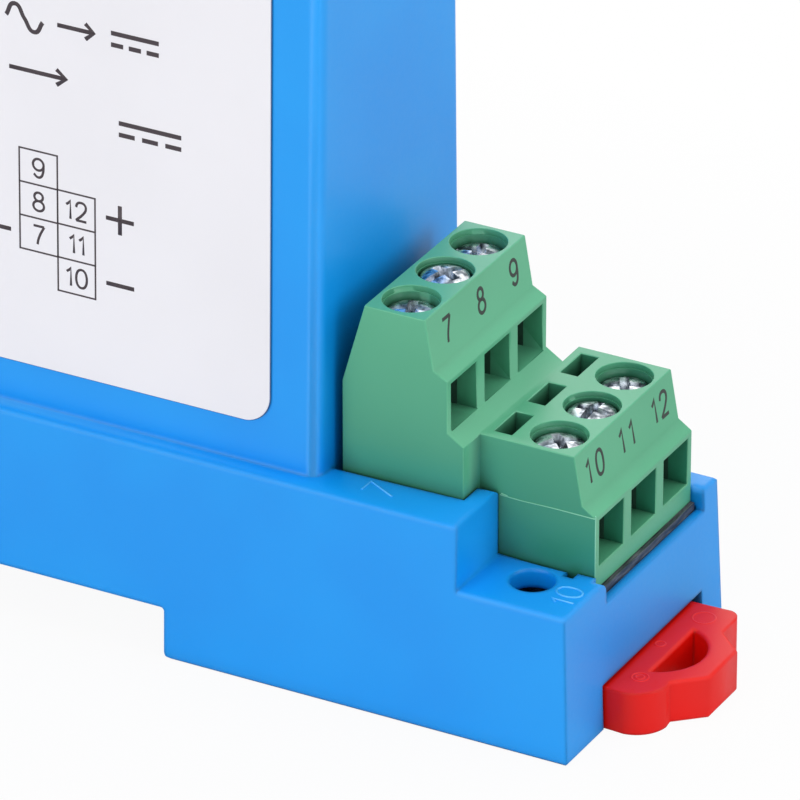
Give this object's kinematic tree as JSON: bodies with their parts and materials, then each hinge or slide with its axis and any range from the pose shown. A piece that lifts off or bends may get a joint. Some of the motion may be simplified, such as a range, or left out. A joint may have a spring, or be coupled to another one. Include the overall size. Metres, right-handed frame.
{
  "type": "rail-mounted current transmitter",
  "caption": "Slim stepped rail-mounted transmitter housing with two-deck screw terminals at both ends, a plain side label and a sprung sliding rail clip.",
  "frame": {"origin": "middle of the rail seat, where the back of the mounting rail's opening would lie against the housing", "axes": "+X points along the housing to the end with the rail clip, -Y is the labelled side and the rail runs along Y, +Z points away from the rail"},
  "size_m": [0.1078, 0.0246, 0.0751],
  "materials": {
    "housing_plastic": "satin moulded ABS",
    "terminal_plastic": "fine satin moulded polyamide",
    "clip_plastic": "semi-gloss moulded acetal",
    "label_film": "smooth printed film",
    "zinc_screws": "bright zinc plate",
    "plated_steel": "plated",
    "tinned_contacts": "tin plate",
    "circuit_board": "dark solder mask",
    "black_moulding": "moulded epoxy",
    "capacitor_sleeve": "shrink sleeve",
    "trimmer_plastic": "moulded",
    "resistor_body": "lacquer"
  },
  "bodies": {
    "transmitter": {"housing": "housing_plastic", "bottom_cover": "housing_plastic", "cover_screws": "plated_steel", "label_plate": "label_film", "terminal_block_right": "terminal_plastic", "terminal_block_left": "terminal_plastic", "upper_screws_right": "zinc_screws", "lower_screws_right": "zinc_screws", "upper_screws_left": "zinc_screws", "lower_screws_left": "zinc_screws", "upper_clamps_right": "plated_steel", "lower_clamps_right": "plated_steel", "upper_clamps_left": "plated_steel", "lower_clamps_left": "plated_steel", "contact_pins_right": "tinned_contacts", "contact_pins_left": "tinned_contacts", "terminal_board": "circuit_board", "signal_board": "circuit_board", "board_header": "black_moulding", "input_transformer": "black_moulding", "isolation_transformer": "black_moulding", "power_converter": "black_moulding", "filter_capacitors": "capacitor_sleeve", "signal_chips": "black_moulding", "calibration_trimmers": "trimmer_plastic", "input_resistors": "resistor_body", "clip_spring": "plated_steel"},
    "clip": {"rail_clip": "clip_plastic"}
  },
  "joints": [
    {"name": "clip_slide", "type": "slide", "parent": "transmitter", "child": "clip", "axis": [1, 0, 0], "range_m": [0, 0.003], "stiffness_N_per_m": 1200, "springref_m": -0.002, "deforming": ["clip_spring"]}
  ]
}
